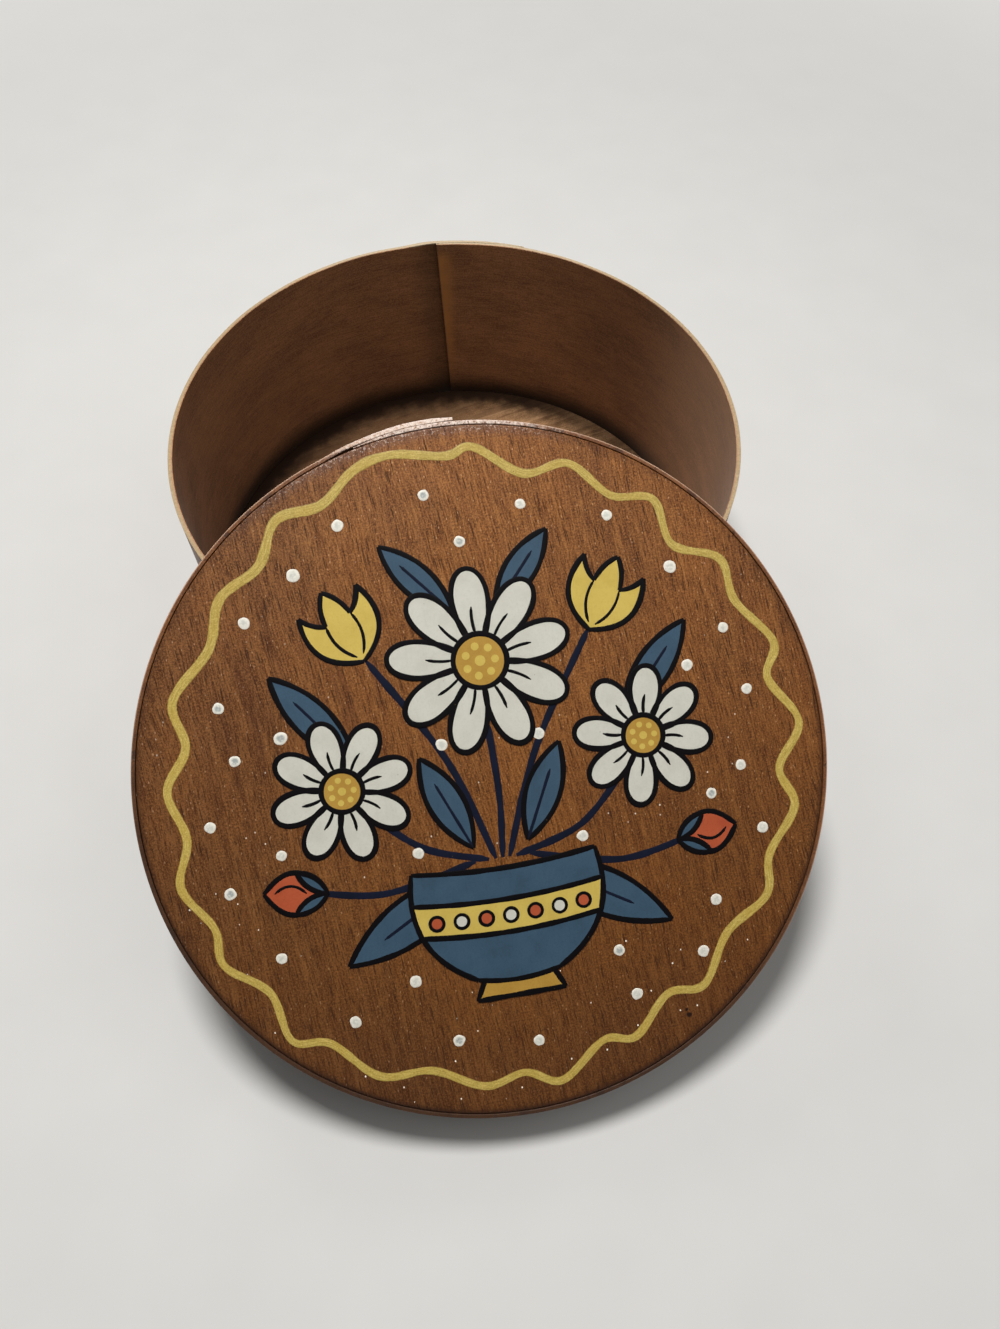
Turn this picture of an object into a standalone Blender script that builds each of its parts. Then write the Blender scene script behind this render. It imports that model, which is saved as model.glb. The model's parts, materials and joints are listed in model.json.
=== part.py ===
"""A round bentwood box: an open base, and its lid taken off and leaned on the base's front rim.

Each half is a thin strip of wood bent into a hoop round a disc. Both ends of the strip are pared to a
slope, the outer end rides up over the inner one, and headed brads driven through the hoop hold it to
the disc.

Metres, +Z up, with the origin at the centre of the base's underside and the front towards -Y.
"""

from collections import namedtuple
from math import asin, atan2, cos, hypot, pi, radians, sin, tau

import bmesh
import bpy
import numpy as np
from mathutils import Matrix, Vector

# Base
BASE_RADIUS = 0.0980  # outside of the single wall
BASE_HEIGHT = 0.0812
BASE_WALL = 0.0016
FLOOR_THICKNESS = 0.0040
BASE_LAP = 0.0310  # length over which the hoop is double
BASE_SCARF = 0.0300  # length of the slope pared on the inner end
BASE_TIP = 0.0010  # what is left of the wall at the end of that slope
BASE_OUTER_SCARF = 0.0400  # the same on the outer end
BASE_OUTER_TIP = 0.0005
BASE_RAMP = 0.0150  # length over which the outer layer climbs to the inner end
BASE_SLANT = 0.0034  # how far the inner end leans along the wall, top against bottom
BASE_SEAM = radians(90.7)  # plan angle of the inner end's foot, from +X

# Lid
LID_DEPTH = 0.0219  # height of the lid's hoop
LID_WALL = 0.0012
LID_PLAY = 0.0004  # all round, over two thicknesses of the base's wall
PANEL_THICKNESS = 0.0050
LID_LAP = 0.0297
LID_SCARF = 0.0150
LID_TIP = 0.0004
LID_OUTER_SCARF = 0.0060
LID_OUTER_TIP = 0.0009
LID_RAMP = 0.0110
LID_SEAM = radians(105.0)

# The lid's place, leaning on the base
LEAN_BEARING = radians(6.6)  # plan direction it leans out in, from the front towards +X
LEAN_SHIFT = -0.0088  # sideways, from the base's axis
LEAN_STEEPEST = radians(80.0)

# Brads
BRAD_COUNT = 8
BRAD_LENGTH = 0.0120
BRAD_RADIUS = 0.00045
BRAD_HEAD_RADIUS = 0.0009
BRAD_HEAD_THICKNESS = 0.0004
BRAD_SINK = 0.0001  # depth of the head's face below the wood

# Clearances and edges
SEAT_GAP = 0.0003  # between pieces that touch
GLUE_LINE = 0.0002  # between the two layers of a lap
OVERRUN = 0.0020  # how far a cutter runs past the surface it cuts
HOOP_EDGE = 0.00015  # broken edge of a hoop
DISC_EDGE = 0.0005  # rounded edge of a disc
MERGE_SHARE = 0.001  # of a brad's radius, within which points are one
EDGE_ANGLE = radians(50.0)  # sharper edges than this are broken
SHARP_ANGLE = radians(35.0)  # sharper edges than this stay sharp in smooth shading

# Facets
HOOP_STATIONS = 150
HOOP_STATION_SHARES = (0.0, 0.08, 0.78, 1.0)  # of the stations
HOOP_LENGTH_SHARES = (0.0, 0.03, 0.89, 1.0)  # of the strip's length, close together at the lap
DISC_FACETS = 120
BRAD_FACETS = 12
RIM_SAMPLES = 720
HALVINGS = 40

# Finishes
WALL_STAIN = (0.115, 0.052, 0.026)
FLOOR_STAIN = (0.28, 0.17, 0.09)
LID_WALL_STAIN = (0.24, 0.13, 0.07)
PANEL_STAIN = (0.25, 0.11, 0.04)
STEEL = (0.42, 0.41, 0.39)
WALL_ROUGHNESS = 0.45
FLOOR_ROUGHNESS = 0.55
LID_ROUGHNESS = 0.4
STEEL_ROUGHNESS = 0.35

# Derived sizes
FLOOR_RADIUS = BASE_RADIUS - BASE_WALL - SEAT_GAP
LID_INNER_RADIUS = BASE_RADIUS + GLUE_LINE + BASE_WALL + LID_PLAY
LID_RADIUS = LID_INNER_RADIUS + LID_WALL
PANEL_RADIUS = LID_INNER_RADIUS - SEAT_GAP

Hoop = namedtuple("Hoop", "inner_radius wall height lap scarf tip outer_scarf outer_tip ramp slant seam")

BASE_HOOP = Hoop(
    inner_radius=BASE_RADIUS - BASE_WALL,
    wall=BASE_WALL,
    height=BASE_HEIGHT,
    lap=BASE_LAP,
    scarf=BASE_SCARF,
    tip=BASE_TIP,
    outer_scarf=BASE_OUTER_SCARF,
    outer_tip=BASE_OUTER_TIP,
    ramp=BASE_RAMP,
    slant=BASE_SLANT,
    seam=BASE_SEAM,
)
LID_HOOP = Hoop(
    inner_radius=LID_INNER_RADIUS,
    wall=LID_WALL,
    height=LID_DEPTH,
    lap=LID_LAP,
    scarf=LID_SCARF,
    tip=LID_TIP,
    outer_scarf=LID_OUTER_SCARF,
    outer_tip=LID_OUTER_TIP,
    ramp=LID_RAMP,
    slant=0.0,  # cut square
    seam=LID_SEAM,
)


# Scene


def clear_scene():
    for obj in list(bpy.data.objects):
        bpy.data.objects.remove(obj, do_unlink=True)


def new_collection(name):
    collection = bpy.data.collections.new(name)
    bpy.context.scene.collection.children.link(collection)
    return collection


def wood(name, colour, roughness):
    material = bpy.data.materials.new(name)
    material.use_nodes = True
    shader = material.node_tree.nodes["Principled BSDF"]
    shader.inputs["Base Color"].default_value = (*colour, 1.0)
    shader.inputs["Roughness"].default_value = roughness
    return material


def steel(name):
    material = wood(name, STEEL, STEEL_ROUGHNESS)
    material.node_tree.nodes["Principled BSDF"].inputs["Metallic"].default_value = 1.0
    return material


def add_object(name, bm, collection, material=None, parent=None):
    mesh = bpy.data.meshes.new(name)
    bmesh.ops.recalc_face_normals(bm, faces=bm.faces)
    bm.to_mesh(mesh)
    bm.free()
    mesh.shade_smooth()
    mesh.set_sharp_from_angle(angle=SHARP_ANGLE)
    obj = bpy.data.objects.new(name, mesh)
    collection.objects.link(obj)
    obj.parent = parent
    if material:
        mesh.materials.append(material)
    return obj


def add_cutter(name, bm, parent=None):
    obj = add_object(name, bm, cutters, parent=parent)
    obj.hide_render = True
    obj.display_type = "WIRE"
    return obj


def break_edges(obj, width, segments):
    bevel = obj.modifiers.new("broken_edges", "BEVEL")
    bevel.width = width
    bevel.segments = segments
    bevel.limit_method = "ANGLE"
    bevel.angle_limit = EDGE_ANGLE


def cut(obj, cutter):
    boolean = obj.modifiers.new(cutter.name, "BOOLEAN")
    boolean.operation = "DIFFERENCE"
    boolean.solver = "EXACT"
    boolean.object = cutter


# Bent hoops


def climb(share):
    """A smooth step from 0 to 1."""
    share = min(max(share, 0.0), 1.0)
    return share * share * (3.0 - 2.0 * share)


def pared_wall(hoop, from_tip):
    """Thickness of the strip at a distance along it from the tip of its inner end."""
    return hoop.tip + (hoop.wall - hoop.tip) * min(from_tip / hoop.scarf, 1.0)


def pared_outer_wall(hoop, from_end):
    """Thickness of the strip at a distance along it from its outer end."""
    return hoop.outer_tip + (hoop.wall - hoop.outer_tip) * min(from_end / hoop.outer_scarf, 1.0)


def outer_layer_lift(hoop, past_tip):
    """How far the outer layer stands off the disc, at a distance past the inner end's tip."""
    if past_tip < 0.0:
        return (hoop.tip + GLUE_LINE) * climb(1.0 + past_tip / hoop.ramp)
    return pared_wall(hoop, past_tip) + GLUE_LINE


def hoop_length(hoop):
    return tau * hoop.inner_radius + hoop.lap


def hoop_faces(hoop, along, height_share):
    """Radii of the strip's inner and outer faces, at a distance along it from the foot of its inner end."""
    tip = -hoop.slant * height_share
    if along < hoop_length(hoop) / 2.0:
        wall = pared_wall(hoop, along - tip)
        return hoop.inner_radius, hoop.inner_radius + wall
    past_tip = along - tau * hoop.inner_radius - tip
    inner = hoop.inner_radius + outer_layer_lift(hoop, past_tip)
    return inner, inner + pared_outer_wall(hoop, hoop_length(hoop) - along)


def bend(hoop, share, outside, height_share):
    """Place on the bent hoop of a point on the flat strip, by shares of its length and height."""
    tip = -hoop.slant * height_share
    along = tip + share * (hoop_length(hoop) - tip)
    radius = hoop_faces(hoop, along, height_share)[outside]
    angle = hoop.seam - along / hoop.inner_radius
    return Vector((radius * cos(angle), radius * sin(angle), hoop.height * height_share))


def bent_hoop(name, hoop, foot, collection, material, parent=None):
    """A flat strip, divided along its length, bent round a disc with its ends lapped."""
    bm = bmesh.new()
    bmesh.ops.create_cube(bm, size=1.0)
    lengthwise = [edge for edge in bm.edges if abs((edge.verts[0].co - edge.verts[1].co).x) > 0.5]
    bmesh.ops.subdivide_edges(bm, edges=lengthwise, cuts=HOOP_STATIONS - 1, use_grid_fill=True)
    for vert in bm.verts:
        station, side, up = vert.co + Vector((0.5, 0.5, 0.5))
        share = np.interp(station, HOOP_STATION_SHARES, HOOP_LENGTH_SHARES)
        vert.co = bend(hoop, float(share), side > 0.5, up) + Vector((0.0, 0.0, foot))
    obj = add_object(name, bm, collection, material, parent)
    break_edges(obj, HOOP_EDGE, 1)
    return obj


# Discs


def disc(name, radius, thickness, foot, collection, material, parent=None):
    bm = bmesh.new()
    bmesh.ops.create_cone(
        bm,
        cap_ends=True,
        segments=DISC_FACETS,
        radius1=radius,
        radius2=radius,
        depth=thickness,
        matrix=Matrix.Translation((0.0, 0.0, foot + thickness / 2.0)),
    )
    obj = add_object(name, bm, collection, material, parent)
    break_edges(obj, DISC_EDGE, 2)
    return obj


# Brads


def turned(profile, steps):
    """A solid turned about Z from (radius, height) points, whose first and last lie on the axis."""
    bm = bmesh.new()
    verts = [bm.verts.new((radius, 0.0, height)) for radius, height in profile]
    edges = [bm.edges.new(pair) for pair in zip(verts, verts[1:])]
    bmesh.ops.spin(
        bm,
        geom=verts + edges,
        cent=(0.0, 0.0, 0.0),
        axis=(0.0, 0.0, 1.0),
        angle=tau,
        steps=steps,
        use_merge=True,
    )
    bmesh.ops.remove_doubles(bm, verts=bm.verts, dist=BRAD_RADIUS * MERGE_SHARE)
    return bm


def brad_profile(grown, past_head):
    """Outline of a brad with its head's face at height 0 and its shank below, grown by a clearance."""
    shank = BRAD_RADIUS + grown
    head = BRAD_HEAD_RADIUS + grown
    return [
        (0.0, past_head),
        (head, past_head),
        (head, -BRAD_HEAD_THICKNESS - grown),
        (shank, -BRAD_HEAD_THICKNESS - grown),
        (shank, -BRAD_LENGTH + BRAD_RADIUS - grown),
        (0.0, -BRAD_LENGTH - grown),
    ]


def brad_places(hoop, height):
    """Where the brads go: the first through the middle of the lap, the rest evenly round."""
    middle = hoop.seam - hoop.lap / 2.0 / hoop.inner_radius
    face = hoop_faces(hoop, hoop_length(hoop) - hoop.lap / 2.0, height / hoop.height)[1]
    for index in range(BRAD_COUNT):
        angle = middle - index * tau / BRAD_COUNT
        radius = (face if index == 0 else hoop.inner_radius + hoop.wall) - BRAD_SINK
        outward = Matrix.Rotation(angle, 4, "Z") @ Matrix.Rotation(pi / 2.0, 4, "Y")
        place = Vector((radius * cos(angle), radius * sin(angle), height))
        yield Matrix.Translation(place) @ outward


def fasten(kind, hoop, band, plate, foot, height, collection, material, parent=None):
    """Brads through the hoop into the disc's edge, and the holes that they sit in."""
    to_height = Matrix.Translation((0.0, 0.0, foot))
    for number, place in enumerate(brad_places(hoop, height - foot), 1):
        shape = turned(brad_profile(0.0, 0.0), BRAD_FACETS)
        room = turned(brad_profile(SEAT_GAP, OVERRUN), BRAD_FACETS)
        brad = add_object(f"{kind}_brad_{number}", shape, collection, material, parent)
        hole = add_cutter(f"{kind}_brad_hole_{number}", room, parent)
        for obj in (brad, hole):
            obj.matrix_local = to_height @ place
        cut(band, hole)
        cut(plate, hole)


# The lid's lean


def lean_frame(tilt):
    """Axes and centre of the lid's outer face, with the lid on the floor and on the front rim."""
    outward = Vector((sin(LEAN_BEARING), -cos(LEAN_BEARING), 0.0))
    across = Vector((cos(LEAN_BEARING), sin(LEAN_BEARING), 0.0))
    normal = outward * sin(tilt) + Vector((0.0, 0.0, cos(tilt)))
    up_slope = normal.cross(across)
    height = SEAT_GAP + LID_RADIUS * sin(tilt) + LID_DEPTH * cos(tilt)
    drop = cos(tilt) * (BASE_HEIGHT - height) + PANEL_THICKNESS + SEAT_GAP
    centre = outward * (BASE_RADIUS + drop / sin(tilt)) + across * LEAN_SHIFT
    centre.z = height
    frame = Matrix((across, up_slope, normal)).transposed().to_4x4()
    frame.translation = centre
    return frame


def rim_clearance(tilt):
    """Least distance from the base's rim to the section of the lid's hoop."""
    to_lid = np.array(lean_frame(tilt).inverted())
    turn = np.linspace(0.0, tau, RIM_SAMPLES, endpoint=False)
    least = BASE_RADIUS
    for radius in (BASE_RADIUS, BASE_RADIUS - BASE_WALL):
        rim = np.stack([radius * np.cos(turn), radius * np.sin(turn), np.full_like(turn, BASE_HEIGHT)])
        local = to_lid[:3, :3] @ rim + to_lid[:3, 3:]
        off_wall = abs(np.hypot(local[0], local[1]) - LID_RADIUS + LID_WALL / 2.0) - LID_WALL / 2.0
        off_depth = abs(local[2] + LID_DEPTH / 2.0) - LID_DEPTH / 2.0
        outside = np.hypot(np.maximum(off_wall, 0.0), np.maximum(off_depth, 0.0))
        inside = np.minimum(np.maximum(off_wall, off_depth), 0.0)
        least = min(least, float((outside + inside).min()))
    return least


def flattest_tilt():
    """The tilt at which the front rim would bear at the lid's far edge."""
    across, depth = 2.0 * LID_RADIUS, LID_DEPTH - PANEL_THICKNESS
    return asin(min(BASE_HEIGHT / hypot(across, depth), sin(LEAN_STEEPEST))) - atan2(depth, across)


def resting_tilt():
    """The tilt at which the lid's hoop just clears the rim that it crosses, found by halving."""
    low, high = flattest_tilt(), LEAN_STEEPEST
    for _ in range(HALVINGS):
        middle = (low + high) / 2.0
        if rim_clearance(middle) < SEAT_GAP:
            low = middle
        else:
            high = middle
    return high


def lid_lean(collection):
    """The empty that carries the lid, at the centre of its outer face, with +Z out of it."""
    lean = bpy.data.objects.new("lid_lean", None)
    collection.objects.link(lean)
    lean.matrix_world = lean_frame(resting_tilt())
    return lean


# Assembly


def make_base(collection):
    wall_finish = wood("stained_wall", WALL_STAIN, WALL_ROUGHNESS)
    floor_finish = wood("stained_floor", FLOOR_STAIN, FLOOR_ROUGHNESS)
    band = bent_hoop("base_band", BASE_HOOP, 0.0, collection, wall_finish)
    plate = disc("base_floor", FLOOR_RADIUS, FLOOR_THICKNESS, 0.0, collection, floor_finish)
    fasten("base", BASE_HOOP, band, plate, 0.0, FLOOR_THICKNESS / 2.0, collection, steel("brad_steel"))


def make_lid(collection):
    lean = lid_lean(collection)
    wall_finish = wood("stained_lid_wall", LID_WALL_STAIN, LID_ROUGHNESS)
    panel_finish = wood("stained_lid_panel", PANEL_STAIN, LID_ROUGHNESS)
    band = bent_hoop("lid_band", LID_HOOP, -LID_DEPTH, collection, wall_finish, lean)
    panel_foot = -PANEL_THICKNESS
    panel = disc("lid_panel", PANEL_RADIUS, PANEL_THICKNESS, panel_foot, collection, panel_finish, lean)
    middle = panel_foot / 2.0
    fasten("lid", LID_HOOP, band, panel, -LID_DEPTH, middle, collection, steel("lid_brad_steel"), lean)


clear_scene()
parts = new_collection("round_wooden_box")
cutters = new_collection("cutters")
make_base(parts)
make_lid(parts)
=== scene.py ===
"""Looks of a round bentwood box: an open base, and its painted lid leaning on the base's front rim."""

import json
from collections import namedtuple
from math import atan2, cos, pi, radians, sin, tau

import bmesh
import bpy
import numpy as np
from mathutils import Matrix, Vector
from mathutils.noise import noise as ripple


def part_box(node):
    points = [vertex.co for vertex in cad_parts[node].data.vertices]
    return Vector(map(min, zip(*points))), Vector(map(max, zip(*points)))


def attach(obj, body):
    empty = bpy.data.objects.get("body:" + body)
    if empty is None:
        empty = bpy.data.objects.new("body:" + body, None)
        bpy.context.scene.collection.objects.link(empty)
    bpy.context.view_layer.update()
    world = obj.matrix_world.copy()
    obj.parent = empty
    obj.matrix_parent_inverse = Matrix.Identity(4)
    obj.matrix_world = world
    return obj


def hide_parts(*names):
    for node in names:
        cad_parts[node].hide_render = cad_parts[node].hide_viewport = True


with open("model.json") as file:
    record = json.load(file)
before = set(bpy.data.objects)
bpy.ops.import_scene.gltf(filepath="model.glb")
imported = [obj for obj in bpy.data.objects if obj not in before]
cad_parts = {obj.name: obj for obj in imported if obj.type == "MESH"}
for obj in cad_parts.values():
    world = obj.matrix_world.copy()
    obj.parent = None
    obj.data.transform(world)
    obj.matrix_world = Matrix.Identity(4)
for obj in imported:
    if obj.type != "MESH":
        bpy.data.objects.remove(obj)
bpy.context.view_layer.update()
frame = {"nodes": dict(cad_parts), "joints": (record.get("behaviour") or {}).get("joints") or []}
nodes = frame["nodes"]
MM = 0.001
UP = Vector((0.0, 0.0, 1.0))


# Sizes taken from the frame


def lid_frame():
    """The lid's own frame: the centre of its outer face, +Z out of that face, +Y up the slope."""
    normal = Vector(frame["joints"][0]["axis"]).normalized()
    across = UP.cross(normal).normalized()
    turn = Matrix((across, normal.cross(across), normal)).transposed()
    local = np.array([turn.transposed() @ vert.co for vert in nodes["lid_panel"].data.vertices])
    low, high = local.min(axis=0), local.max(axis=0)
    centre = Vector(((low[0] + high[0]) / 2.0, (low[1] + high[1]) / 2.0, high[2]))
    matrix = turn.to_4x4()
    matrix.translation = turn @ centre
    return matrix


def local_points(node, matrix):
    """A CAD node's points in a frame of their own."""
    back = matrix.inverted()
    return np.array([back @ vert.co for vert in nodes[node].data.vertices])


IN_WORLD = Matrix.Identity(4)
ON_LID = lid_frame()
BASE_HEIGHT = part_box("base_band")[1].z
FLOOR_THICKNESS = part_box("base_floor")[1].z
FLOOR_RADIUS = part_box("base_floor")[1].x
LID_DEPTH = -float(local_points("lid_band", ON_LID)[:, 2].min())
PANEL_THICKNESS = -float(local_points("lid_panel", ON_LID)[:, 2].min())
PANEL_RADIUS = float(local_points("lid_panel", ON_LID)[:, 0].max())
SEAT_GAP = 0.3 * MM

# Finish of the edges
HOOP_ROUNDING = 0.25 * MM
FLOOR_ROUNDING = 0.5 * MM
PANEL_ROUNDING = 0.55 * MM
PANEL_FILL = 0.16 * MM
EDGE_SEGMENTS = 4
EDGE_ANGLE = radians(50.0)
HOOP_STATIONS = 640
DISC_FACETS = 360
RIM_DIP = 0.25 * MM
RIM_WAVE = 17.0 * MM
SANDED = 0.05 * MM

Hoop = namedtuple("Hoop", "inner_radius wall height lap scarf tip outer_scarf outer_tip ramp slant seam")
GLUE_LINE = 0.2 * MM
GLUE_FILL = 0.16 * MM
GLUE_REACH = 6.0 * MM
BASE_HOOP = Hoop(
    inner_radius=FLOOR_RADIUS + SEAT_GAP,
    wall=1.6 * MM,
    height=BASE_HEIGHT,
    lap=31.0 * MM,
    scarf=30.0 * MM,
    tip=1.0 * MM,
    outer_scarf=40.0 * MM,
    outer_tip=0.35 * MM,
    ramp=15.0 * MM,
    slant=3.4 * MM,
    seam=radians(90.7),
)
LID_HOOP = Hoop(
    inner_radius=PANEL_RADIUS + SEAT_GAP,
    wall=1.2 * MM,
    height=LID_DEPTH,
    lap=29.7 * MM,
    scarf=15.0 * MM,
    tip=0.4 * MM,
    outer_scarf=6.0 * MM,
    outer_tip=0.9 * MM,
    ramp=11.0 * MM,
    slant=0.0,
    seam=radians(105.0),
)
LID_RADIUS = LID_HOOP.inner_radius + LID_HOOP.wall


# Shader building

STRIP_MAP = "strip"
GRIME = "grime"


def tone(red, green, blue):
    """A colour as it is seen, from 0 to 255, in the linear light that shaders use."""
    seen = (channel / 255.0 for channel in (red, green, blue))
    return (*(((channel + 0.055) / 1.055) ** 2.4 for channel in seen), 1.0)


class Shader:
    """A material whose Principled shader is fed by procedural nodes. Its shade is built up step by step."""

    def __init__(self, name, on_lid=False, roughness=0.5, gloss=0.5):
        self.material = bpy.data.materials.new(name)
        self.material.use_nodes = True
        self.tree = self.material.node_tree
        self.surface = self.tree.nodes["Principled BSDF"]
        self.surface.inputs["Roughness"].default_value = roughness
        self.surface.inputs["Specular IOR Level"].default_value = gloss
        self.place = self.node("TexCoord").outputs["Object"]
        if on_lid:
            to_lid = self.node("Mapping", vector_type="TEXTURE")
            to_lid.inputs["Location"].default_value = ON_LID.translation
            to_lid.inputs["Rotation"].default_value = ON_LID.to_euler()
            self.feed(to_lid.inputs["Vector"], self.place)
            self.place = to_lid.outputs["Vector"]

    def node(self, kind, **settings):
        node = self.tree.nodes.new("ShaderNode" + kind)
        for name, value in settings.items():
            setattr(node, name, value)
        return node

    def feed(self, socket, value):
        if isinstance(value, bpy.types.NodeSocket):
            self.tree.links.new(value, socket)
        else:
            socket.default_value = value

    def math(self, operation, *values):
        node = self.node("Math", operation=operation)
        for socket, value in zip(node.inputs, values):
            self.feed(socket, value)
        return node.outputs["Value"]

    def product(self, first, *others):
        for other in others:
            first = self.math("MULTIPLY", first, other)
        return first

    def line(self, value, slope, start):
        """The start plus the slope times the value."""
        return self.math("MULTIPLY_ADD", value, slope, start)

    def opposite(self, share):
        """1 where the share is 0, and 0 where it is 1."""
        return self.math("SUBTRACT", 1.0, share)

    def rise(self, value, low, high):
        """0 up to low, 1 from high on, and smooth between them. Where low is the greater, it falls."""
        node = self.node("MapRange", interpolation_type="SMOOTHSTEP")
        self.feed(node.inputs["Value"], value)
        node.inputs["From Min"].default_value = low
        node.inputs["From Max"].default_value = high
        return node.outputs["Result"]

    def vector_math(self, operation, first, second):
        node = self.node("VectorMath", operation=operation)
        self.feed(node.inputs[0], first)
        self.feed(node.inputs[1], second)
        return node.outputs["Vector"]

    def axes(self, vector):
        node = self.node("SeparateXYZ")
        self.feed(node.inputs["Vector"], vector)
        return [node.outputs[axis] for axis in "XYZ"]

    def flat(self, x, y):
        """A place from its two coordinates."""
        node = self.node("CombineXYZ")
        self.feed(node.inputs["X"], x)
        self.feed(node.inputs["Y"], y)
        return node.outputs["Vector"]

    def turned(self, vector, angle):
        """The same place, seen with the X axis turned by an angle about Z."""
        node = self.node("VectorRotate", rotation_type="Z_AXIS")
        self.feed(node.inputs["Vector"], vector)
        node.inputs["Angle"].default_value = -angle
        return node.outputs["Vector"]

    def reach(self, vector):
        """Distance from the origin."""
        node = self.node("VectorMath", operation="LENGTH")
        self.feed(node.inputs[0], vector)
        return node.outputs["Value"]

    def away_from(self, place):
        return self.reach(self.vector_math("SUBTRACT", self.place, place))

    def from_axis(self):
        return self.reach(self.vector_math("MULTIPLY", self.place, (1.0, 1.0, 0.0)))

    def strip(self):
        """Distance along and up the strip that a hoop or a brush stroke is made from."""
        node = self.node("UVMap", uv_map=STRIP_MAP)
        return self.axes(node.outputs["UV"])[:2]

    def noise(self, size, detail=3.0, rough=0.5, place=None):
        """Soft noise whose lumps have about the given size."""
        node = self.node("TexNoise")
        self.feed(node.inputs["Vector"], self.place if place is None else place)
        node.inputs["Scale"].default_value = 1.0 / size
        node.inputs["Detail"].default_value = detail
        node.inputs["Roughness"].default_value = rough
        return node.outputs["Fac"]

    def cells(self, vector, size):
        """Distance to the nearest of scattered points, as a share of the size, and its random number."""
        node = self.node("TexVoronoi")
        self.feed(node.inputs["Vector"], vector)
        node.inputs["Scale"].default_value = 1.0 / size
        return node.outputs["Distance"], self.axes(node.outputs["Color"])[0]

    def specks(self, room, chance, radius_share, seed, squeeze=(1.0, 1.0, 1.0)):
        """Scattered tiny dots, drawn out along an axis that is squeezed: 1 on a dot and 0 between them."""
        squeezed = self.vector_math("MULTIPLY", self.place, squeeze)
        moved = self.vector_math("ADD", squeezed, (seed, seed * 0.7, 0.0))
        near, number = self.cells(moved, room)
        dot = self.opposite(self.rise(near, radius_share * 0.6, radius_share))
        return self.product(dot, self.rise(number, 1.0 - chance, 1.0 - chance * 0.8))

    def spot(self, place, radius):
        """1 within a small round mark and 0 outside it."""
        fuzz = self.product(self.noise(radius, 2.0), radius * 0.8)
        away = self.math("ADD", self.away_from(place), fuzz)
        return self.opposite(self.rise(away, radius, radius * 1.5))

    def blend(self, share, first, second, kind="MIX"):
        node = self.node("Mix", data_type="RGBA", blend_type=kind)
        self.feed(node.inputs["Factor"], share)
        colours = [socket for socket in node.inputs if socket.type == "RGBA"]
        self.feed(colours[0], first)
        self.feed(colours[1], second)
        return next(socket for socket in node.outputs if socket.type == "RGBA")

    def cover(self, shares, *seen):
        """Lays a colour over the shade, by the product of the shares."""
        self.shade = self.blend(self.product(*shares), self.shade, tone(*seen))

    def tint(self, shares, *seen):
        """Multiplies the shade by a colour, by the product of the shares."""
        self.shade = self.blend(self.product(*shares), self.shade, tone(*seen), "MULTIPLY")

    def finish(self, roughness=None, height=None, relief=0.0):
        self.feed(self.surface.inputs["Base Color"], self.shade)
        if roughness is not None:
            self.feed(self.surface.inputs["Roughness"], roughness)
        if height is not None:
            bump = self.node("Bump")
            bump.inputs["Distance"].default_value = relief
            self.feed(bump.inputs["Height"], height)
            self.feed(self.surface.inputs["Normal"], bump.outputs["Normal"])
        return self.material


# Woods

GRAIN_DRAW_SHARE = 0.075
CLOUD_DRAW_SHARE = 0.45
SWAY = 3.5 * MM
SWAY_WAVE = 40.0 * MM
GRAIN_BAND = 2.4 * MM
FIBRE = 0.50 * MM
PORE_ROOM = 0.80 * MM
LONG_PORE = 0.30 * MM
GRIT = 0.55 * MM


class Wood(Shader):
    """Stained open-pored wood, its grain along a disc's X axis, turned by an angle, or along a strip."""

    def __init__(self, name, tones, cloud, turn=None, pores=0.75, **finish):
        super().__init__(name, **finish)
        if turn is None:
            along, across = self.strip()
        else:
            along, across, _ = self.axes(self.turned(self.place, turn))
        across = self.line(self.math("SUBTRACT", self.noise(SWAY_WAVE, 1.0), 0.5), SWAY, across)
        self.drawn = self.flat(self.product(along, GRAIN_DRAW_SHARE), across)
        drawn_less = self.flat(self.product(along, CLOUD_DRAW_SHARE), across)
        clouds = self.noise(cloud, 4.0, 0.6, drawn_less)
        near, number = self.cells(self.drawn, PORE_ROOM)
        open_pores = self.opposite(self.rise(near, 0.15, 0.25))
        chosen = self.rise(self.line(clouds, 0.6, number), 0.48, 0.62)
        long_pores = self.rise(self.noise(LONG_PORE, 2.0, 0.6, self.drawn), 0.61, 0.67)
        pits = self.math("MAXIMUM", self.product(open_pores, chosen), long_pores)
        self.pores = self.product(pits, pores)
        self.fibres = self.noise(FIBRE, 3.0, 0.7, self.drawn)
        self.grit = self.noise(GRIT, 3.0, 0.75)
        self.stain(tones, clouds)

    def stain(self, tones, clouds):
        dark, middle, light, pore = tones
        bands = self.noise(GRAIN_BAND, 3.0, 0.65, self.drawn)
        self.shade = self.blend(self.rise(clouds, 0.38, 0.62), tone(*dark), tone(*middle))
        self.cover([self.rise(bands, 0.42, 0.75), 0.5], *light)
        fibre = self.blend(self.rise(self.fibres, 0.38, 0.62), tone(*dark), tone(*light))
        self.shade = self.blend(0.40, self.shade, fibre)
        self.cover([self.rise(self.grit, 0.51, 0.64), 0.60], *light)
        self.cover([self.rise(self.grit, 0.49, 0.36), 0.55], *pore)
        self.cover([self.pores], *pore)

    def varnish(self, low, high, relief, bare=0.0):
        """Ends a wood whose varnish is smooth, and dull in the pores and where it is bare."""
        rough = self.line(self.pores, high - low, low)
        worn = self.line(self.grit, 0.3, self.product(self.fibres, 0.4))
        return self.finish(self.line(bare, 0.3, rough), self.math("SUBTRACT", worn, self.pores), relief)


# The lid's panel, with the start and end of each zone of its tones, across it or up the slope

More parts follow.
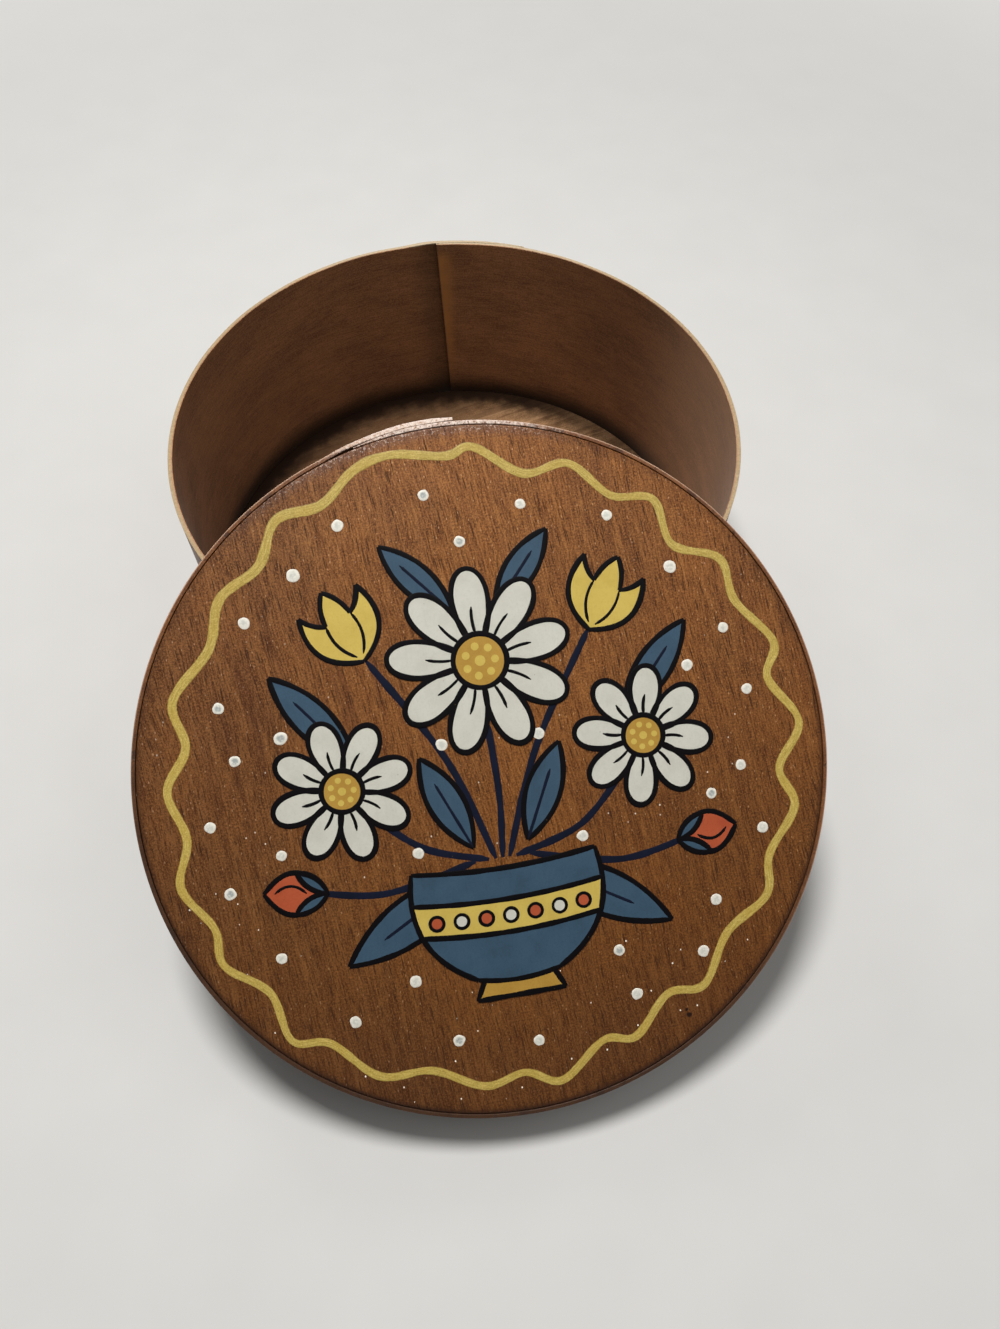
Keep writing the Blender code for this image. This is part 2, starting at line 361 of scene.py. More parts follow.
PANEL_GRAIN = radians(96.0)
LID_CLOUD = 30.0 * MM
PANEL_RELIEF = 0.12 * MM
PANEL_LOWER = (70.0 * MM, -90.0 * MM)
PANEL_FOOT = (-45.0 * MM, -95.0 * MM)
PANEL_LEFT = (10.0 * MM, -100.0 * MM)
PANEL_RIGHT = (-20.0 * MM, 60.0 * MM)
PANEL_CREST = (0.70 * PANEL_RADIUS, 0.98 * PANEL_RADIUS)
GLARE_ACROSS = (42.0 * MM, 12.0 * MM)
STREAK = 4.5 * MM
STREAKED_PLACE = (-48.0 * MM, 18.0 * MM, 0.0)
STREAKED_REACH = 48.0 * MM
# Zones at its edge, by distance from the centre
PANEL_EDGE = (PANEL_RADIUS - 1.0 * MM, PANEL_RADIUS + 4.0 * MM)
PANEL_RIM_SHADE = (PANEL_RADIUS - 1.6 * MM, PANEL_RADIUS - 0.2 * MM)
PANEL_BRIM = (PANEL_RADIUS - 4.0 * MM, PANEL_RADIUS - 0.6 * MM)
EDGE_WAVER = 5.0 * MM
EDGE_WAVE = 9.0 * MM
GLINT = 0.8 * MM
# Room for each bright speck, and for each speck of pale dust
SPARKLE_ROOM = 1.2 * MM
DUST_ROOM = 2.6 * MM
# Dark marks, by place and radius
PANEL_MARKS = (
    ((47.5 * MM, -79.2 * MM, 0.0), 0.5 * MM),
    ((48.0 * MM, -80.9 * MM, 0.0), 0.9 * MM),
    ((10.8 * MM, 50.2 * MM, 0.0), 0.35 * MM),
)


def panel_wood():
    tones = (92, 49, 17), (122, 70, 26), (176, 119, 64), (42, 20, 8)
    wood = Wood("stained_lid_panel", tones, LID_CLOUD, PANEL_GRAIN, on_lid=True, gloss=0.2)
    to_right, up_slope, _ = wood.axes(wood.place)
    lower = wood.rise(up_slope, *PANEL_LOWER)
    near = wood.rise(wood.away_from(STREAKED_PLACE), STREAKED_REACH, 0.3 * STREAKED_REACH)
    streaked = wood.rise(wood.noise(STREAK, 3.0, 0.6, wood.drawn), 0.48, 0.64)
    wood.tint([streaked, wood.line(near, 0.65, 0.35)], 215, 207, 213)
    wood.cover([lower, 0.2], 130, 83, 44)
    wood.cover([wood.specks(SPARKLE_ROOM, 0.55, 0.17, 0.11, (1.0, 0.5, 1.0)), 0.5], 214, 166, 118)
    # Painted shade: the panel is darkened on its left, towards its right, lower down and most at its foot,
    # where less light falls.
    wood.tint([wood.rise(to_right, *PANEL_LEFT)], 224, 227, 248)
    wood.tint([wood.rise(to_right, *PANEL_RIGHT), wood.line(lower, 0.25, 0.4)], 229, 223, 221)
    wood.tint([lower], 220, 215, 199)
    wood.tint([wood.rise(up_slope, *PANEL_FOOT)], 228, 230, 250)
    reach = wood.reach(wood.place)
    ragged = wood.line(wood.noise(EDGE_WAVE), EDGE_WAVER, reach)
    wood.tint([wood.rise(ragged, *PANEL_EDGE)], 211, 208, 212)
    # Painted shade on the rounded edge of the panel's lower half, which faces away from the light.
    wood.cover([wood.rise(reach, *PANEL_RIM_SHADE), lower, 0.7], 48, 27, 17)
    dust = wood.specks(DUST_ROOM, 0.26, 0.105, 0.3, (1.0, 0.8, 1.0))
    wood.cover([dust, wood.math("ADD", 0.10, lower)], 255, 240, 220)
    for place, radius in PANEL_MARKS:
        wood.cover([wood.spot(place, radius), 0.95], 26, 13, 9)
    # Painted reflection: a grey glare with pale glints on the rounded brim, high up and left of the middle,
    # where the edge catches the light from behind.
    brim = wood.rise(reach, *PANEL_BRIM)
    crest = wood.product(wood.rise(up_slope, *PANEL_CREST), wood.rise(to_right, *GLARE_ACROSS))
    wood.cover([brim, crest, 0.35], 96, 72, 66)
    glints = wood.line(brim, 0.10, wood.noise(GLINT, 3.0, 0.75))
    wood.cover([brim, wood.rise(glints, 0.64, 0.72), crest, 0.85], 188, 164, 148)
    return wood.varnish(0.44, 0.62, PANEL_RELIEF)


# The lid's wall, with zones by distance from the axis, by height and up the slope

LID_WALL_RELIEF = 0.08 * MM
LID_ARRIS = (LID_RADIUS - 0.50 * MM, LID_RADIUS - 0.10 * MM)
LID_RIM = (-0.35 * MM, 0.15 * MM)
LID_RIM_WAVER = 0.5 * MM
LID_RIM_WAVE = 1.6 * MM
LID_LIT = (-70.0 * MM, 30.0 * MM)
BLEACHED = (LID_HOOP.inner_radius + 4.0 * MM, LID_HOOP.inner_radius + 14.0 * MM)
BLEACHED_WAVER = 22.0 * MM
BLEACHED_WAVE = 1.3 * MM
BLEACHED_PATCH = 0.7 * MM


def lid_wall_wood():
    """Brown stain with painted shade away from the light, its rim's outer edge worn paler and given a
    painted highlight where lit, and bleached at the crest.
    """
    tones = (88, 52, 28), (112, 68, 38), (140, 92, 56), (56, 32, 18)
    wood = Wood("stained_lid_wall", tones, LID_CLOUD, on_lid=True, gloss=0.25)
    to_right, up_slope, height = wood.axes(wood.place)
    lit = wood.rise(wood.line(to_right, 0.4, up_slope), *LID_LIT)
    wood.cover([wood.opposite(lit), 0.8], 50, 36, 28)
    rim = wood.rise(wood.line(wood.noise(LID_RIM_WAVE), LID_RIM_WAVER, height), *LID_RIM)
    # Painted highlight on the worn outer edge of the rim, only where the light falls.
    wood.cover([rim, wood.rise(wood.from_axis(), *LID_ARRIS), lit, 0.7], 206, 168, 140)
    flaked = wood.line(wood.noise(BLEACHED_WAVE, 4.0, 0.7), BLEACHED_WAVER, up_slope)
    patchy = wood.rise(wood.noise(BLEACHED_PATCH, 3.0, 0.7), 0.38, 0.50)
    wood.cover([rim, wood.rise(flaked, *BLEACHED), patchy], 226, 208, 194)
    return wood.varnish(0.42, 0.6, LID_WALL_RELIEF)


# The base's wall, with zones by distance from the axis, by height, to the right, to the back and along

WALL_CLOUD = 14.0 * MM
BASE_RELIEF = 0.05 * MM
BASE_TURN = tau * BASE_HOOP.inner_radius
BASE_INSIDE = (BASE_HOOP.inner_radius + 1.5 * MM, BASE_HOOP.inner_radius + 1.25 * MM)
BASE_FOOT_SHADE = (FLOOR_THICKNESS + 13.0 * MM, FLOOR_THICKNESS)
DEEPER_FROM = (25.0 * MM, 70.0 * MM)
DEEPER_TO = (80.0 * MM, 99.0 * MM)
RIGHT_WALL_SHEEN = (72.0 * MM, 98.0 * MM)
LAP_RECESS = (BASE_TURN - 15.0 * MM, BASE_TURN - 1.0 * MM)
# The pale strip beside the seam, which widens upwards
PALE_STRIP_WIDTH = 2.2 * MM
PALE_STRIP_FLARE = 0.045
PALE_STRIP_START = (0.05 * MM, 0.5 * MM)
PALE_STRIP_FOOT = (4.0 * MM, 46.0 * MM)
PALE_STRIP_TOP = (BASE_HEIGHT - 1.0 * MM, BASE_HEIGHT - 8.0 * MM)
PALE_STRIP_BLOTCH = 5.0 * MM
# The bare rim
BARE_RIM = (BASE_HEIGHT - 0.65 * MM, BASE_HEIGHT - 0.30 * MM)
BARE_FROM_INSIDE = (BASE_HOOP.inner_radius + 0.15 * MM, BASE_HOOP.inner_radius + 0.55 * MM)
BARE_WAVER = 0.9 * MM
BARE_WAVE = 1.1 * MM
BARE_MOTTLE = 0.9 * MM
BARE_BACK = (60.0 * MM, 100.0 * MM)


def base_wall_wood():
    tones = (126, 85, 56), (168, 117, 78), (184, 135, 94), (97, 63, 43)
    wood = Wood("stained_wall", tones, WALL_CLOUD, pores=0.40, gloss=0.35)
    along, height = wood.strip()
    to_right, to_back, _ = wood.axes(wood.place)
    reach = wood.from_axis()
    inside = wood.rise(reach, *BASE_INSIDE)
    wood.tint([wood.opposite(inside)], 190, 170, 152)
    # Painted shade on the inside of the wall, darkest at its foot by the floor.
    wood.cover([wood.rise(height, *BASE_FOOT_SHADE), inside, 0.86], 26, 16, 10)
    deeper = wood.math("SUBTRACT", wood.rise(to_right, *DEEPER_FROM), wood.rise(to_right, *DEEPER_TO))
    wood.tint([deeper, inside], 210, 204, 198)
    # Painted sheen: the inside of the wall is paler and greyer towards its right, where light grazes it.
    wood.cover([wood.rise(to_right, *RIGHT_WALL_SHEEN), inside, 0.30], 186, 158, 132)
    # Painted shade in the recess beside the lap, where the wall steps back up to the seam.
    wood.cover([wood.rise(along, *LAP_RECESS), inside, 0.5], 46, 38, 22)
    from_seam = wood.math("DIVIDE", along, wood.line(height, PALE_STRIP_FLARE, PALE_STRIP_WIDTH))
    strip = wood.product(wood.rise(from_seam, 1.45, 0.25), wood.rise(along, *PALE_STRIP_START))
    fade = wood.product(wood.rise(height, *PALE_STRIP_TOP), wood.rise(height, *PALE_STRIP_FOOT))
    wood.cover([strip, fade, wood.line(wood.noise(PALE_STRIP_BLOTCH), 0.9, 0.45)], 190, 134, 76)
    waver = wood.product(wood.math("SUBTRACT", wood.noise(BARE_WAVE), 0.5), BARE_WAVER)
    bare = wood.rise(wood.math("ADD", height, waver), *BARE_RIM)
    bare = wood.product(bare, wood.rise(wood.line(waver, 0.5, reach), *BARE_FROM_INSIDE))
    raw = wood.blend(wood.noise(BARE_MOTTLE), tone(136, 108, 74), tone(190, 168, 132))
    raw = wood.blend(wood.product(wood.rise(to_back, *BARE_BACK), 0.4), raw, tone(206, 190, 164))
    wood.shade = wood.blend(bare, wood.shade, raw)
    wood.surface.inputs["Sheen Weight"].default_value = 0.05
    wood.surface.inputs["Sheen Roughness"].default_value = 0.4
    return wood.varnish(0.5, 0.62, BASE_RELIEF, bare)


# The base's floor, with zones to the right and by distance from the centre

FLOOR_GRAIN = radians(22.0)
FLOOR_CLOUD = 12.0 * MM
FLOOR_WISP = 5.0 * MM
FLOOR_GAP = 4.0 * MM
FLOOR_SHADED = (40.0 * MM, -12.0 * MM)
FLOOR_CORNER_SHADE = (FLOOR_RADIUS - 12.0 * MM, FLOOR_RADIUS + 1.0 * MM)
CORNER_EASED = (30.0 * MM, 66.0 * MM)
CORNER_WAVER = 8.0 * MM
CORNER_WAVE = 5.0 * MM


def floor_wood():
    """Light brown stain, with a painted shadow on the left and painted shade darkest in the corner at the
    wall's foot.
    """
    tones = (132, 96, 64), (158, 118, 82), (184, 144, 106), (98, 68, 44)
    wood = Wood("stained_floor", tones, FLOOR_CLOUD, FLOOR_GRAIN, pores=0.35, gloss=0.03)
    to_right = wood.axes(wood.place)[0]
    wood.cover([wood.rise(wood.noise(FLOOR_WISP, 3.0, 0.6, wood.drawn), 0.50, 0.66), 0.40], 192, 152, 112)
    wood.cover([wood.rise(wood.noise(FLOOR_GAP, 3.0, 0.6, wood.drawn), 0.50, 0.38), 0.5], 98, 68, 44)
    # Painted shadow of the wall on the left of the floor.
    wood.cover([wood.rise(to_right, *FLOOR_SHADED), 0.80], 66, 44, 28)
    # Painted shade in the corner at the wall's foot, ragged and eased towards the right.
    ragged = wood.line(wood.noise(CORNER_WAVE), CORNER_WAVER, wood.reach(wood.place))
    eased = wood.line(wood.rise(to_right, *CORNER_EASED), -0.2, 0.97)
    wood.cover([wood.rise(ragged, *FLOOR_CORNER_SHADE), eased], 22, 12, 7)
    return wood.varnish(0.5, 0.62, BASE_RELIEF)


# Metal

TARNISH = 0.7 * MM
TARNISH_RELIEF = 0.02 * MM


def brad_metal():
    metal = Shader("brad_steel")
    metal.surface.inputs["Metallic"].default_value = 1.0
    tarnish = metal.rise(metal.noise(TARNISH, 4.0, 0.6), 0.4, 0.7)
    metal.shade = metal.blend(tarnish, tone(158, 152, 144), tone(104, 90, 76))
    return metal.finish(metal.line(tarnish, 0.25, 0.45), tarnish, TARNISH_RELIEF)


# Paints, each by its own tone and the deeper one of its clouds and streaks

PAINTS = {
    "white": ((196, 194, 181), (178, 176, 163)),
    "yellow": ((196, 171, 84), (180, 152, 68)),
    "ochre": ((172, 134, 58), (152, 114, 44)),
    "blue": ((57, 81, 99), (43, 63, 79)),
    "navy": ((20, 25, 42), (13, 16, 28)),
    "red": ((170, 80, 48), (148, 62, 38)),
    "ink": ((12, 9, 11), (7, 6, 8)),
}
DULL_PAINTS = ("ink", "navy")
PAINT_RELIEF = 0.04 * MM
PAINT_CLOUD = 9.0 * MM
PAINT_STREAK = 0.7 * MM
PAINT_GRAIN = 0.55 * MM
PINHOLE_ROOM = 2.4 * MM
DOT_MOTTLE = 0.8 * MM
RING_RELIEF = 0.05 * MM
RING_UPPER = (0.0, 70.0 * MM)
RING_CLOUD = 8.0 * MM
RING_GRAIN = 0.50 * MM
RING_FRAY = 0.7 * MM
RING_PORE_ROOM = 1.5 * MM
BRISTLE = 0.30 * MM
BRISTLE_DRAW_SHARE = 0.08
BRISTLED_HALF = 1.3 * MM


def paint(name):
    """Brushed enamel: cloudy, faintly streaked, with a few pinholes where the pores show through."""
    colour, deep = PAINTS[name]
    coat = Shader(f"paint_{name}", on_lid=True, gloss=0.08 if name in DULL_PAINTS else 0.2)
    coat.shade = tone(*colour)
    coat.cover([coat.rise(coat.noise(PAINT_CLOUD, 4.0, 0.6), 0.35, 0.75), 0.6], *deep)
    drawn = coat.vector_math("MULTIPLY", coat.place, (1.0, 0.12, 1.0))
    streak = coat.noise(PAINT_STREAK, 3.0, 0.6, drawn)
    coat.cover([coat.rise(streak, 0.52, 0.8), 0.30], *deep)
    coat.cover([coat.rise(coat.noise(PAINT_GRAIN, 3.0, 0.75), 0.50, 0.36), 0.35], *deep)
    coat.cover([coat.specks(PINHOLE_ROOM, 0.14, 0.07, 0.9), 0.6], 96, 72, 46)
    return coat.finish(None, streak, PAINT_RELIEF)


def ring_paint():
    """Mustard paint brushed on in one stroke, thin at its edges and over the deepest pores."""
    coat = Shader("paint_ring", on_lid=True, gloss=0.25)
    along, across = coat.strip()
    drawn = coat.product(along, BRISTLE_DRAW_SHARE), coat.product(across, BRISTLED_HALF)
    bristle = coat.noise(BRISTLE, 3.0, 0.6, coat.flat(*drawn))
    coat.shade = coat.blend(coat.rise(bristle, 0.35, 0.7), tone(165, 141, 62), tone(200, 175, 95))
    coat.cover([coat.rise(coat.noise(RING_CLOUD, 2.0), 0.4, 0.7), 0.4], 178, 148, 62)
    grain = coat.noise(RING_GRAIN, 3.0, 0.75)
    coat.cover([coat.rise(grain, 0.50, 0.34), 0.5], 140, 112, 52)
    coat.cover([coat.rise(grain, 0.54, 0.70), 0.5], 222, 200, 124)
    # Painted shade: a dark line along the stroke's ragged edges.
    fray = coat.line(coat.noise(RING_FRAY, 3.0, 0.6), 0.5, coat.math("ABSOLUTE", across))
    coat.cover([coat.rise(fray, 1.03, 1.26), 0.85], 118, 84, 38)
    coat.cover([coat.specks(RING_PORE_ROOM, 0.22, 0.12, 0.5), 0.7], 96, 66, 34)
    # Painted shade: the ring is a little darker up the slope.
    up_slope = coat.axes(coat.place)[1]
    coat.tint([coat.rise(up_slope, *RING_UPPER)], 247, 247, 252)
    return coat.finish(None, bristle, RING_RELIEF)


def dot_paint():
    """Off-white enamel dabbed on, with grey left in the dimples."""
    dab = Shader("paint_dots", on_lid=True, gloss=0.3)
    grime = dab.node("Attribute", attribute_name=GRIME).outputs["Fac"]
    mottle = dab.noise(DOT_MOTTLE, 3.0, 0.6)
    dab.shade = dab.blend(dab.rise(mottle, 0.35, 0.8), tone(222, 218, 204), tone(204, 200, 186))
    dab.cover([grime, dab.rise(mottle, 0.25, 0.55)], 146, 152, 150)
    return dab.finish(None, mottle, PAINT_RELIEF)


# Mesh building

SHARP_ANGLE = radians(40.0)


def add_piece(name, bm, material, matrix=IN_WORLD):
    mesh = bpy.data.meshes.new(name)
    bmesh.ops.transform(bm, matrix=matrix, verts=bm.verts)
    bmesh.ops.recalc_face_normals(bm, faces=bm.faces)
    bm.to_mesh(mesh)
    bm.free()
    mesh.shade_smooth()
    mesh.set_sharp_from_angle(angle=SHARP_ANGLE)
    mesh.materials.append(material)
    obj = bpy.data.objects.new(name, mesh)
    bpy.context.scene.collection.objects.link(obj)
    return obj


def add_cylinder(bm, facets, radius, depth, matrix):
    bmesh.ops.create_cone(
        bm, cap_ends=True, segments=facets, radius1=radius, radius2=radius, depth=depth, matrix=matrix
    )


def round_edges(obj, width):
    bevel = obj.modifiers.new("rounded_edges", "BEVEL")
    bevel.width = width
    bevel.segments = EDGE_SEGMENTS
    bevel.limit_method = "ANGLE"
    bevel.angle_limit = EDGE_ANGLE
    bevel.harden_normals = True


def settle(obj):
    """Replaces the object's mesh by what its modifiers make of it."""
    bpy.context.view_layer.update()
    evaluated = obj.evaluated_get(bpy.context.evaluated_depsgraph_get())
    settled = bpy.data.meshes.new_from_object(evaluated)
    obj.modifiers.clear()
    obj.data = settled


# Bent hoops


def climb(share):
    """0 up to 0, 1 from 1 on, and smooth between them."""
    share = min(max(share, 0.0), 1.0)
    return share * share * (3.0 - 2.0 * share)


def pared(tip, wall, scarf, distance):
    """Thickness of a strip at a distance from its pared end."""
    return tip + (wall - tip) * min(distance / scarf, 1.0)


def hoop_length(hoop):
    return tau * hoop.inner_radius + hoop.lap


def hoop_faces(hoop, along, height_share):
    """Radii of the strip's inner and outer faces, at a distance along it from the foot of its inner end."""
    tip = -hoop.slant * height_share
    if along < hoop_length(hoop) / 2.0:
        wall = pared(hoop.tip, hoop.wall, hoop.scarf, along - tip)
        return hoop.inner_radius, hoop.inner_radius + wall - SANDED
    past_tip = along - tau * hoop.inner_radius - tip
    if past_tip < 0.0:
        lift = (hoop.tip + GLUE_LINE) * climb(1.0 + past_tip / hoop.ramp)
    else:
        lift = pared(hoop.tip, hoop.wall, hoop.scarf, past_tip) + GLUE_LINE
    inner = hoop.inner_radius + lift
    from_end = hoop_length(hoop) - along
    outer = inner + pared(hoop.outer_tip, hoop.wall, hoop.outer_scarf, from_end) - SANDED
    return inner - GLUE_FILL * climb(past_tip / GLUE_REACH) * climb(from_end / GLUE_REACH), outer


def rim_dip(along):
    """How far the sanded rim lies below its full height, never the same for long."""
    return RIM_DIP * (0.5 + 0.5 * ripple(Vector((along / RIM_WAVE, 0.0, 0.0))))


def bent_hoop(name, hoop, foot, disc_face, material, matrix, dipping):
    """A flat strip bent round its disc, cut finely along its length and once up it, at the disc's face."""
    bm = bmesh.new()
    bmesh.ops.create_cube(bm, size=1.0)
    lengthwise = [edge for edge in bm.edges if abs((edge.verts[0].co - edge.verts[1].co).x) > 0.5]
    bmesh.ops.subdivide_edges(bm, edges=lengthwise, cuts=HOOP_STATIONS - 1, use_grid_fill=True)
    level = (0.0, 0.0, disc_face / hoop.height - 0.5)
    whole = [*bm.verts, *bm.edges, *bm.faces]
    bmesh.ops.bisect_plane(bm, geom=whole, plane_co=level, plane_no=UP)
    strip = bm.loops.layers.uv.new(STRIP_MAP)
    length = hoop_length(hoop)
    middle = Vector((0.5, 0.5, 0.5))
    for face in bm.faces:
        for loop in face.loops:
            share, _, up = loop.vert.co + middle
            tip = -hoop.slant * up
            loop[strip].uv = (share * (length - tip), up * hoop.height)
    for vert in bm.verts:
        share, side, up = vert.co + middle
        tip = -hoop.slant * up
        along = tip + share * (length - tip)
        radius = hoop_faces(hoop, along, up)[side > 0.5]
        angle = hoop.seam - along / hoop.inner_radius
        height = foot + hoop.height * up - (rim_dip(along) * up if dipping else 0.0)
        vert.co = (radius * cos(angle), radius * sin(angle), height)
    obj = add_piece(name, bm, material, matrix)
    round_edges(obj, HOOP_ROUNDING)
    return obj


def disc(name, radius, thickness, foot, rounding, material, matrix):
    bm = bmesh.new()
    middle = Matrix.Translation((0.0, 0.0, foot + thickness / 2.0))
    add_cylinder(bm, DISC_FACETS, radius, thickness, middle)
    obj = add_piece(name, bm, material, matrix)
    round_edges(obj, rounding)
    return obj


# Brads

BRAD_CLEARANCE = 0.12 * MM
BRAD_HOLE_DEPTH = 0.7 * MM
BRAD_HOLE_REACH = 2.0 * MM
BRAD_HOLE_FACETS = 32


def cut_for_brads(obj, brads, matrix):
    """Sinks the seats of the brads' heads into a hoop."""
    bm = bmesh.new()
    for brad in brads:
        points = local_points(brad, matrix)
        middle = points.mean(axis=0)
        angle = atan2(middle[1], middle[0])
        outward = np.array((cos(angle), sin(angle), 0.0))
        face = float((points @ outward).max())
        head = points[points @ outward > face - BRAD_CLEARANCE]
        radius = float(np.linalg.norm(head - head.mean(axis=0), axis=1).max()) + BRAD_CLEARANCE
        depth = BRAD_HOLE_DEPTH + BRAD_HOLE_REACH
        centre = Vector(outward) * (face - BRAD_HOLE_DEPTH + depth / 2.0)
        centre.z = float(head[:, 2].mean())
        lay = Matrix.Rotation(angle, 4, "Z") @ Matrix.Rotation(pi / 2.0, 4, "Y")
        lay = Matrix.Translation(centre) @ lay
        add_cylinder(bm, BRAD_HOLE_FACETS, radius, depth, lay)
    cutter = add_piece("brad_seats", bm, obj.data.materials[0], matrix)
    boolean = obj.modifiers.new("brad_seats", "BOOLEAN")
    boolean.operation = "DIFFERENCE"
    boolean.object = cutter
    settle(obj)
    bpy.data.objects.remove(cutter)


# Painting on the lid, in millimetres from its centre, +Y up the slope, in layers that rise one by one

LINE = 1.55
FINE_LINE = 0.9
STEM = 2.0
# Length of a path's steps, and how many it is made from or has at least
SAMPLE = 0.6
SPAN_STEPS = 16
ARC_STEPS = 24
FEWEST_STEPS = 6
FEWEST_SIDES = 12
COAT = 0.02 * MM
LAYER = 0.065 * MM
CROWN = 0.045 * MM
SUNK = -0.03 * MM
STROKE_SECTION = (
    (-1.0, 0.0), (-0.88, 0.60), (-0.5, 0.93), (0.0, 1.0), (0.5, 0.93), (0.88, 0.60), (1.0, 0.0),
)
TAPER_LENGTHS = 1.6
UNEVEN_WIDTH = 0.22
UNEVEN_WAVE = 6.0


def run_along(points):
    """Distance along a path at each of its points."""
    return np.concatenate([[0.0], np.cumsum(np.linalg.norm(np.diff(points, axis=0), axis=1))])


def even(points, closed=False):
    """The same path, cut into equal short steps."""
    run = run_along(points)
    at = np.linspace(0.0, run[-1], max(int(run[-1] / SAMPLE), FEWEST_STEPS) + 1)
    if closed:
        at = at[:-1]
    return np.stack([np.interp(at, run, points[:, axis]) for axis in (0, 1)], axis=1)


def through(points, closed=False):
    """A smooth path through the given points."""
    knots = np.array(points, float)
    count = len(knots)
    if closed:
        knots = np.concatenate([knots[-1:], knots, knots[:2]])
    else:
        knots = np.concatenate([knots[:1], knots, knots[-1:]])
        count -= 1
    share = np.linspace(0.0, 1.0, SPAN_STEPS, endpoint=False)[:, None]
    spans = []
    for before, start, end, after in zip(knots[:count], knots[1:], knots[2:], knots[3:]):
        straight = (end - before) * share
        square = (2.0 * before - 5.0 * start + 4.0 * end - after) * share**2
        cube = (3.0 * start - before - 3.0 * end + after) * share**3
        spans.append(start + (straight + square + cube) / 2.0)
    return even(np.concatenate([*spans, knots[-2:-1]]), closed)


def arc(start, end, swell):
    """A path from start to end that swells to its left."""
    start, end = np.array(start, float), np.array(end, float)
    ahead = end - start
    left = np.array((-ahead[1], ahead[0])) / np.linalg.norm(ahead)
    share = np.linspace(0.0, 1.0, ARC_STEPS)[:, None]
    return even(start + ahead * share + left * swell * 4.0 * share * (1.0 - share))


def lens(start, end, swell):
    """A leaf's two sides, from start to end and back."""
    return [arc(start, end, swell), arc(end, start, swell)]


def mirrored(points, side):
    """Points on the right, or with -1 for the side their mirror images on the left."""
    return np.array(points) * (side, 1.0)


def laid(points, place, heading):
    """Points of an upright flower, turned from its foot to its heading and put in its place."""
    turn = heading - pi / 2.0
    rotation = np.array(((cos(turn), sin(turn)), (-sin(turn), cos(turn))))
    return np.array(points, float) @ rotation + np.array(place, float)


def circle(centre, radius):
    sides = max(int(tau * radius / SAMPLE), FEWEST_SIDES)
    angles = np.linspace(0.0, tau, sides, endpoint=False)
    return np.array(centre, float) + radius * np.stack([np.cos(angles), np.sin(angles)], axis=1)


class Paintwork:
    """Strokes and patches of paint, one mesh for each colour, laid over each other in layers."""

    def __init__(self):
        self.meshes = {}
        self.maps = {}

    def mesh(self, colour):
        if colour not in self.meshes:
            self.meshes[colour] = bmesh.new()
            self.maps[colour] = self.meshes[colour].loops.layers.uv.new(STRIP_MAP)
        return self.meshes[colour]

    def patch(self, colour, outline, layer):
        bm = self.mesh(colour)
        top = layer * LAYER + COAT
        low, high = ([bm.verts.new((x * MM, y * MM, z)) for x, y in outline] for z in (SUNK, top))
        for index in range(len(low)):
            bm.faces.new((low[index - 1], low[index], high[index], high[index - 1]))
        bm.faces.new(high)
        bm.faces.new(low)

    def stroke(self, colour, path, width, layer, closed=False, thin=0.45):
        """A brush stroke with a crowned section and a hand's uneven width, thinner towards its ends."""
        bm = self.mesh(colour)
        strip = self.maps[colour]
        path = np.array(path)
        ahead = np.roll(path, -1, axis=0) - np.roll(path, 1, axis=0)
        if not closed:
            ahead[0], ahead[-1] = path[1] - path[0], path[-1] - path[-2]
        ahead /= np.linalg.norm(ahead, axis=1)[:, None]
        run = run_along(path)
        crown = [(share, layer * LAYER + COAT + CROWN * rise) for share, rise in STROKE_SECTION]
        profile = [(-1.0, SUNK), *crown, (1.0, SUNK)]
        widths = np.broadcast_to(width, len(path))
        sections = []
        for (x, y), (east, north), done, wide in zip(path, ahead, run, widths):
            half = wide / 2.0 * (1.0 + UNEVEN_WIDTH * ripple(Vector((x, y, layer)) / UNEVEN_WAVE))
            if not closed:
                near_end = min(done, run[-1] - done) / wide / TAPER_LENGTHS
                half *= thin + (1.0 - thin) * climb(near_end)
            sections.append([])
            for share, height in profile:
                at = ((x - north * share * half) * MM, (y + east * share * half) * MM, height)
                sections[-1].append((bm.verts.new(at), (done * MM, share)))
        pairs = list(zip(sections, sections[1:]))
        if closed:
            pairs.append((sections[-1], sections[0]))
        for first, second in pairs:
            for index in range(len(first)):
                quad = (first[index - 1], first[index], second[index], second[index - 1])
                face = bm.faces.new([vert for vert, _ in quad])
                for loop, (_, at) in zip(face.loops, quad):
                    loop[strip].uv = at
        if not closed:
            for section in (sections[0], sections[-1]):
                bm.faces.new([vert for vert, _ in section])

    def shape(self, colour, sides, layer):
        """A patch inside a chain of paths, with an ink line brushed along each."""
        self.patch(colour, np.concatenate([side[:-1] for side in sides]), layer)
        for side in sides:
            self.stroke("ink", side, LINE, layer, thin=0.75)

    def roundel(self, colour, centre, radius, layer, line=LINE):
        self.patch(colour, circle(centre, radius), layer)
        self.stroke("ink", circle(centre, radius), line, layer, closed=True)

    def pieces(self):
        for name, bm in self.meshes.items():
            material = ring_paint() if name == "ring" else paint(name)
            yield add_piece(f"paint_{name}", bm, material, ON_LID)


# The wavy ring: its crests and troughs, by angle in degrees and radius

